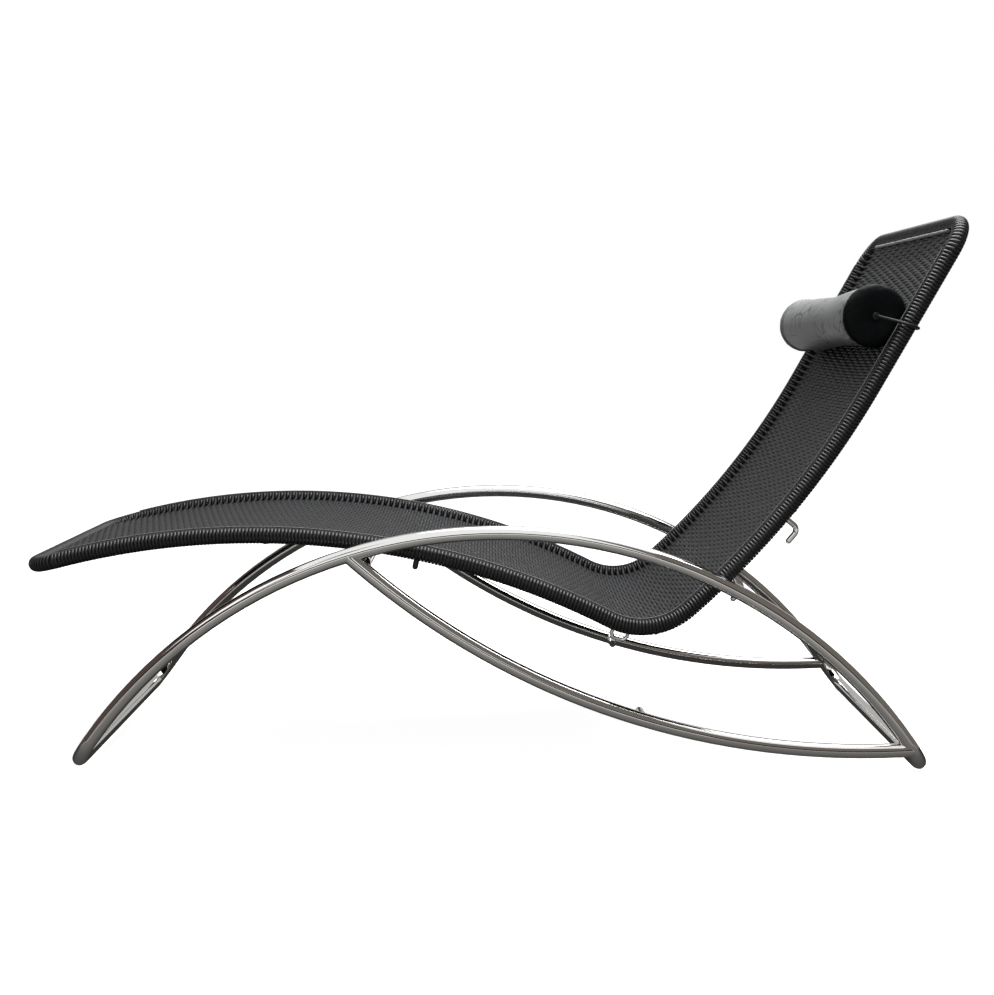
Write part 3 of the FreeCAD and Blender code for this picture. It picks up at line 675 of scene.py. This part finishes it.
class CHAIR_OT_winding(bpy.types.Operator):
    """Winds the side tubes and the cross ends with flat strand"""

    bl_idname = "chair.winding"
    bl_label = "Wound tubes"

    def turn(self, name, pitch):
        """One flat turn of strand round a tube that lies along X."""
        radius = sizes().winding_radius - WOUND_HALF_THICK
        bpy.ops.object.select_all(action="DESELECT")
        bpy.ops.mesh.primitive_torus_add(major_segments=24, minor_segments=6, rotation=(0, math.pi / 2, 0),
                                         major_radius=radius, minor_radius=WOUND_HALF_THICK)
        thing = named_piece(name)
        bpy.ops.object.transform_apply(location=True, rotation=True, scale=True)
        thing.data.transform(Matrix.Diagonal((pitch * WOUND_HALF_WIDTH / WOUND_HALF_THICK, 1, 1, 1)))
        bpy.ops.object.shade_smooth()
        return thing

    def execute(self, context):
        s, c, curve = sizes(), colours(), profile_curve()
        # The winding takes the woven strand's colours at 0.4: a darker copy of the same strand, painted shade
        # round the tubes.
        finish = strand_finish("wound_strand_painted_shade", tuple(part * 0.4 for part in c.strand_dark),
                               tuple(part * 0.4 for part in c.strand_light), 0.24, 0.50)
        half_step = pair_step() / 2
        first = math.floor((s.corner - weave_start()) / half_step) - 1
        start = weave_start() + (first + 0.5) * half_step
        turns = int((profile.length - s.corner - start) / half_step) + 1
        for name, side in SIDES:
            piece = self.turn(name + "_winding_turns", half_step)
            repeat(piece, turns, half_step)
            piece.data.transform(Matrix.Translation((start, side * s.half_shell, 0)))
            bend_along(piece, curve)
            dress(piece, finish)
            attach(piece, "shell")
            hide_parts(name + "_side_winding")
        bpy.data.objects.remove(curve)
        for name in ("foot", "head"):
            self.bow(name, finish)
        return {"FINISHED"}

    def bow(self, name, finish):
        """The winding of one cross end and its two corners."""
        s = sizes()
        place, heading = profile.at(0.0 if name == "foot" else profile.length)
        outward = Vector((math.cos(heading), 0, math.sin(heading))) * (-1 if name == "foot" else 1)
        straight = 2 * (s.half_shell - s.corner)
        quarter = math.pi / 2 * s.corner
        length = straight + 2 * quarter
        steps = 160
        places = []
        for index in range(steps + 1):
            s_along = length * index / steps
            if s_along < quarter:
                angle = s_along / s.corner
                out, y = math.sin(angle) * s.corner, -s.half_shell + s.corner * (1 - math.cos(angle))
            elif s_along < quarter + straight:
                out, y = s.corner, -s.half_shell + s.corner + s_along - quarter
            else:
                angle = (s_along - quarter - straight) / s.corner
                out, y = math.cos(angle) * s.corner, s.half_shell - s.corner + math.sin(angle) * s.corner
            places.append(place + outward * (out - s.corner) + Vector((0, y, 0)))
        curve = line_through(name + "_bow_line", places, "MINIMUM")
        turns = int(length / s.weft_pitch)
        piece = self.turn(name + "_bow_turns", s.weft_pitch)
        repeat(piece, turns, length / turns)
        piece.data.transform(Matrix.Translation((length / turns / 2, 0, 0)))
        bend_along(piece, curve)
        dress(piece, finish)
        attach(piece, "shell")
        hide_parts(name + "_bow_winding")
        bpy.data.objects.remove(curve)


class CHAIR_OT_headrest(bpy.types.Operator):
    """Stuffs the bolster, sews on its caps and finishes its elastic cord"""

    bl_idname = "chair.headrest"
    bl_label = "Headrest"

    def execute(self, context):
        nodes = frame["nodes"]
        whole = self.blank()
        self.draw_in(whole)
        self.stuff(whole)
        self.rest_on_sheet(whole)
        modify(whole, "SUBSURF", levels=1, render_levels=1)
        self.folds(whole)
        cover, cap = cover_leather(), cap_leather()
        seam = sizes().seam
        for name, node, slot, finish, low, high in (
                ("bolster_body", ("bolster_cover", "bolster_core"), "cover_leather", cover, -seam, seam),
                ("near_cap", ("near_end_cap",), "cap_leather", cap, -1.0, -seam),
                ("far_cap", ("far_end_cap",), "cap_leather", cap, seam, 1.0)):
            piece = self.slice(whole, name, low, high)
            self.put(piece)
            dress(piece, finish)
            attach(piece, "headrest")
            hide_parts(*node)
        bpy.data.objects.remove(whole)
        for name, _ in SIDES:
            dress(nodes[name + "_cord_eyelet"], satin_black())
        dress(nodes["elastic_cord"], braided_cord())
        return {"FINISHED"}

    def blank(self):
        """A plain roll along Y, remeshed to an even net."""
        s = sizes()
        bpy.ops.object.select_all(action="DESELECT")
        bpy.ops.mesh.primitive_cylinder_add(vertices=96, radius=s.bolster_radius - UNSTUFFED,
                                            depth=2 * (s.seam + CAP_DEPTH), rotation=(math.pi / 2, 0, 0))
        roll = named_piece("bolster_roll")
        bpy.ops.object.transform_apply(location=True, rotation=True, scale=True)
        bpy.ops.object.mode_set(mode="EDIT")
        bpy.ops.mesh.select_all(action="DESELECT")
        bpy.ops.object.mode_set(mode="OBJECT")
        for face in roll.data.polygons:
            face.select = abs(face.normal.y) > 0.9
        bpy.ops.object.mode_set(mode="EDIT")
        bpy.ops.mesh.select_mode(type="FACE")
        bpy.ops.mesh.bevel(offset=CAP_RIM, segments=4, affect="EDGES")
        bpy.ops.object.mode_set(mode="OBJECT")
        modify(roll, "REMESH", mode="VOXEL", voxel_size=NET)
        return roll

    def draw_in(self, roll):
        """Draws the body in to its waist and beside each seam, and each cap in round its cord hole."""
        s = sizes()
        body = s.bolster_radius - UNSTUFFED
        waist_place, waist_spread = -0.03, 0.09
        pinch, pinch_place, pinch_spread = 0.0015, 0.016, 0.008
        far_cap_shrink = 0.0045
        dimple, dimple_spread = 0.003, 0.014
        for vertex in roll.data.vertices:
            x, y, z = vertex.co
            away = abs(y)
            radius = math.hypot(x, z)
            wanted = body + (s.cap_radius - body) * ease(away, s.seam - 0.012, s.seam - 0.002)
            wanted -= s.waist * math.exp(-((y - waist_place) / waist_spread) ** 2)
            wanted -= pinch * math.exp(-((away - s.seam + pinch_place) / pinch_spread) ** 2)
            wanted -= far_cap_shrink * ease(y, s.seam - 0.003, s.seam + 0.004)
            vertex.co.x, vertex.co.z = x * wanted / body, z * wanted / body
            if away > s.seam:
                vertex.co.y -= math.copysign(dimple * math.exp(-(radius / dimple_spread) ** 2), y)

    def stuff(self, roll):
        """Swells the roll with cloth under pressure, held at its seams and cord holes."""
        s = sizes()
        seam_band, hole_radius = 0.0030, 0.008
        only(roll)
        held = roll.vertex_groups.new(name="held")
        start = [vertex.co.copy() for vertex in roll.data.vertices]
        for vertex in roll.data.vertices:
            x, y, z = vertex.co
            away, radius = abs(y), math.hypot(x, z)
            if abs(away - s.seam) < seam_band or (away > s.seam and radius < hole_radius):
                held.add([vertex.index], 1.0, "REPLACE")
        bpy.ops.object.modifier_add(type="CLOTH")
        cloth = roll.modifiers[-1]
        cloth.settings.use_pressure = True
        cloth.settings.uniform_pressure_force = 45.0
        cloth.settings.effector_weights.gravity = 0.0
        cloth.settings.vertex_group_mass = "held"
        cloth.settings.quality = 6
        cloth.settings.mass = 0.2
        cloth.settings.tension_stiffness = 20
        cloth.settings.compression_stiffness = 20
        cloth.settings.bending_stiffness = 0.4
        for step in range(1, 21):
            bpy.context.scene.frame_set(step)
        bpy.ops.object.modifier_apply(modifier=cloth.name)
        bpy.context.scene.frame_set(1)
        for vertex, old in zip(roll.data.vertices, start):
            moved = vertex.co - old
            if moved.length > STUFFING_LIMIT:
                vertex.co = old + moved * (STUFFING_LIMIT / moved.length)

    def rest_on_sheet(self, roll):
        """Lets the far half slump down the back, and flattens the underside on the dipped sheet."""
        s = sizes()
        soft, clearance, slump_end = 0.002, 0.0004, 0.16
        sheet_top = s.strand_thick * (WEFT_WAVE + 0.5) + clearance
        for vertex in roll.data.vertices:
            x, y, z = vertex.co
            free = 1 if y < s.seam else ease(math.hypot(x, z), 0.004, 0.045)
            vertex.co.x -= s.slump * ease(y, -s.seam, slump_end) * free
            floor = dip(vertex.co.y) + sheet_top - s.bolster_lift
            low = vertex.co.z - floor
            if low < soft:
                vertex.co.z = floor + soft * math.exp((low - soft) / soft)

    def folds(self, roll):
        """Short pull folds just inside each end seam."""
        s = sizes()
        fold_depth, fold_place, fold_spread = 0.00045, 0.036, 0.018
        for vertex in roll.data.vertices:
            x, y, z = vertex.co
            near = math.exp(-((abs(y) - s.seam + fold_place) / fold_spread) ** 2)
            angle = math.atan2(z, x)
            wave = math.sin(9 * angle + 40 * y) + 0.6 * math.sin(17 * angle + 1.3)
            wave += 0.4 * math.sin(5 * angle)
            pull = fold_depth * near * wave / math.hypot(x, z)
            vertex.co.x, vertex.co.z = x * (1 + pull), z * (1 + pull)

    def slice(self, roll, name, low, high):
        """Copies the roll and keeps what lies between two cuts square to its axis."""
        only(roll)
        bpy.ops.object.duplicate()
        piece = named_piece(name)
        bpy.ops.object.mode_set(mode="EDIT")
        for place, outward in ((low, -1), (high, 1)):
            if abs(place) < 0.9:
                bpy.ops.mesh.select_all(action="SELECT")
                bpy.ops.mesh.bisect(plane_co=(0, place, 0), plane_no=(0, outward, 0), clear_outer=True)
        bpy.ops.object.mode_set(mode="OBJECT")
        bpy.ops.object.shade_smooth()
        return piece

    def put(self, piece):
        """Turns the roll's z to the sheet's normal and moves it to its place on the back."""
        s = sizes()
        point, along, normal = profile_frame(profile.length - s.bolster_place)
        turn = Matrix((along, Vector((0, 1, 0)), normal)).transposed().to_4x4()
        piece.data.transform(Matrix.Translation(point + normal * s.bolster_lift) @ turn)


class CHAIR_OT_stage(bpy.types.Operator):
    """Sets the floor, the white surroundings, the lamps and the camera"""

    bl_idname = "chair.stage"
    bl_label = "Stage"

    def execute(self, context):
        self.floor()
        self.world()
        self.lamps()
        self.cards()
        self.camera()
        context.scene.view_settings.view_transform = "Standard"
        return {"FINISHED"}

    def floor(self):
        """A pale floor that looks white to the camera and in reflections, and keeps the shadow."""
        bpy.ops.object.select_all(action="DESELECT")
        bpy.ops.mesh.primitive_plane_add(size=30, location=(0, 0, -0.0005))
        floor = named_piece("floor")
        material, shader, place = new_material("floor_white")
        seen = self.seen(material.node_tree)
        feed(shader, Base_Color=seen.mix((0.20, 0.20, 0.20, 1), (0.93, 0.93, 0.93, 1)), Roughness=0.9,
             Specular_IOR_Level=0.0, Emission_Color=seen.mix((0, 0, 0, 1), (1, 1, 1, 1)),
             Emission_Strength=0.90)
        dress(floor, material)

    def seen(self, tree):
        """1 for what the camera sees, straight on or by way of metal and glass."""
        path = tree.nodes.new("ShaderNodeLightPath")
        camera, glossy, clear = (Node(tree, path.outputs[name]) for name in
                                 ("Is Camera Ray", "Is Glossy Ray", "Is Transmission Ray"))
        return camera.maths("MAXIMUM", camera, glossy.maths("MAXIMUM", glossy, clear))

    def world(self):
        """White surroundings that light the chair only a little."""
        world = bpy.data.worlds.new("studio")
        bpy.context.scene.world = world
        world.use_nodes = True
        tree = world.node_tree
        background = tree.nodes["Background"]
        room_light = 0.14
        strength = self.seen(tree) * (1 - room_light) + room_light
        tree.links.new(strength.socket, background.inputs["Strength"])
        background.inputs["Color"].default_value = (1, 1, 1, 1)

    def lamps(self):
        for name, place, size, power in (("top_lamp", (0.7, 0.4, 2.9), 2.4, 104.0),
                                         ("side_lamp", (-2.2, -2.0, 1.9), 1.4, 7.0)):
            bpy.ops.object.light_add(type="AREA", location=place)
            lamp = bpy.context.object
            lamp.name = name
            lamp.data.size = size
            lamp.data.energy = power
            lamp.rotation_euler = (Vector((0, 0, 0.4)) - Vector(place)).to_track_quat("-Z", "Y").to_euler()

    def cards(self):
        """A strip at the horizon, walls and a floor mat round the stage, seen by glossy finishes only."""
        dark, grey = (0.085, 0.062, 0.056, 1), (0.16, 0.145, 0.128, 1)
        strip, pale = (0.030, 0.018, 0.016, 1), (0.50, 0.49, 0.48, 1)
        for name, place, across, shade in (("horizon_strip", (0, -4.2, 0.66), (14.0, 0.92), strip),
                                           ("rear_corner", (-6.0, -4.3, 3.0), (7.4, 6.0), dark),
                                           ("rear_side", (5.2, -4.3, 3.0), (7.6, 6.0), grey),
                                           ("back_wall", (0, 4.2, 2.90), (14.0, 5.8), pale)):
            card = self.card(name, place, across, 90)
            self.glow(card, shade)
        for name, x, height, shade in (("foot_wall", -4.5, 6.0, dark), ("head_wall", 4.5, 8.0, grey)):
            wall = self.card(name, (0, 0, 0), (height, 12.0), 0)
            upright = Matrix.Rotation(math.pi / 2, 4, "Y")
            wall.data.transform(Matrix.Translation((x, 0, height / 2)) @ upright)
            self.glow(wall, shade)
        # The floor mat, seen only in reflections, is darkest under the chair: a painted shadow of the chair.
        mat = self.card("floor_mat", (0, -1.0, 0.002), (14.0, 6.4), 0)
        self.glow(mat, None, self.grades())

    def glow(self, card, shade, graded=None):
        """Gives a card an even shade, or one that changes across it."""
        material, shader, place = new_material(card.name + "_shade")
        feed(shader, Base_Color=(0, 0, 0, 1), Specular_IOR_Level=0.0, Emission_Strength=1.0,
             Emission_Color=self.graded(place, graded) if graded else shade)
        dress(card, material)

    def grades(self):
        """The floor mat's brightness by its place along Y, darkest under the chair as the chair's painted
        shadow.
        """
        return ((-4.2, 0.72), (-2.5, 0.70), (-1.7, 0.36), (-0.8, 0.28), (-0.40, 0.17), (-0.20, 0.04),
                (0.45, 0.04), (0.9, 0.25), (2.2, 0.4))

    def graded(self, place, grades):
        """A shade that runs smoothly from grade to grade."""
        across = place.make("ShaderNodeSeparateXYZ", {}, {0: place}, 1)
        shade = grades[0][1]
        for (low, before), (high, after) in zip(grades, grades[1:]):
            step = across.make("ShaderNodeMapRange", {"clamp": True, "interpolation_type": "SMOOTHSTEP"},
                               {"Value": across, "From Min": low, "From Max": high, "To Min": 0.0,
                                "To Max": after - before})
            shade = shade + step
        return shade.mix((0, 0, 0, 1), (1.0, 0.97, 0.93, 1))

    def card(self, name, place, across, turn):
        bpy.ops.object.select_all(action="DESELECT")
        bpy.ops.mesh.primitive_plane_add(size=1, location=place, rotation=(math.radians(turn), 0, 0))
        card = named_piece(name)
        card.scale = (across[0], across[1], 1)
        bpy.ops.object.transform_apply(location=True, rotation=True, scale=True)
        for way in ("camera", "diffuse", "transmission", "volume_scatter", "shadow"):
            setattr(card, "visible_" + way, False)
        return card

    def camera(self):
        """The photograph's view: its place, its turns in radians, its focal length in pixels."""
        place = (0.0015, -2.2995, 0.7598)
        pitch, yaw, roll = -0.1322, 0.0057, 0.0062
        focal, picture_width = 1199.2, 994.0
        look = Vector((math.sin(yaw) * math.cos(pitch), math.cos(yaw) * math.cos(pitch), math.sin(pitch)))
        right = Vector((math.cos(yaw), -math.sin(yaw), 0))
        up = right.cross(look)
        tilted_right = right * math.cos(roll) + up * math.sin(roll)
        tilted_up = up * math.cos(roll) - right * math.sin(roll)
        data = bpy.data.cameras.new("photo_camera")
        data.sensor_fit = "HORIZONTAL"
        data.sensor_width = 36.0
        data.lens = focal * data.sensor_width / picture_width
        camera = bpy.data.objects.new("photo_camera", data)
        bpy.context.scene.collection.objects.link(camera)
        camera.matrix_world = Matrix.Translation(place) @ Matrix(
            (tilted_right, tilted_up, -look)).transposed().to_4x4()
        bpy.context.scene.camera = camera


class CHAIR_PT_panel(bpy.types.Panel):
    """Lists the steps that model the chair"""

    bl_idname = "CHAIR_PT_panel"
    bl_label = "Lounge chair"
    bl_space_type = "VIEW_3D"
    bl_region_type = "UI"
    bl_category = "Lounge chair"

    def draw(self, context):
        for step in STEPS:
            self.layout.operator(step.bl_idname)


STEPS = (CHAIR_OT_chrome, CHAIR_OT_weave, CHAIR_OT_winding, CHAIR_OT_headrest, CHAIR_OT_stage)
CLASSES = (ChairSizes, ChairColours) + STEPS + (CHAIR_PT_panel,)


def register():
    for item in CLASSES:
        bpy.utils.register_class(item)
    bpy.types.Scene.chair_sizes = PointerProperty(type=ChairSizes)
    bpy.types.Scene.chair_colours = PointerProperty(type=ChairColours)


def unregister():
    del bpy.types.Scene.chair_colours
    del bpy.types.Scene.chair_sizes
    for item in reversed(CLASSES):
        bpy.utils.unregister_class(item)


def main():
    register()
    for step in STEPS:
        group, name = step.bl_idname.split(".")
        getattr(getattr(bpy.ops, group), name)()


if __name__ == "__main__":
    main()
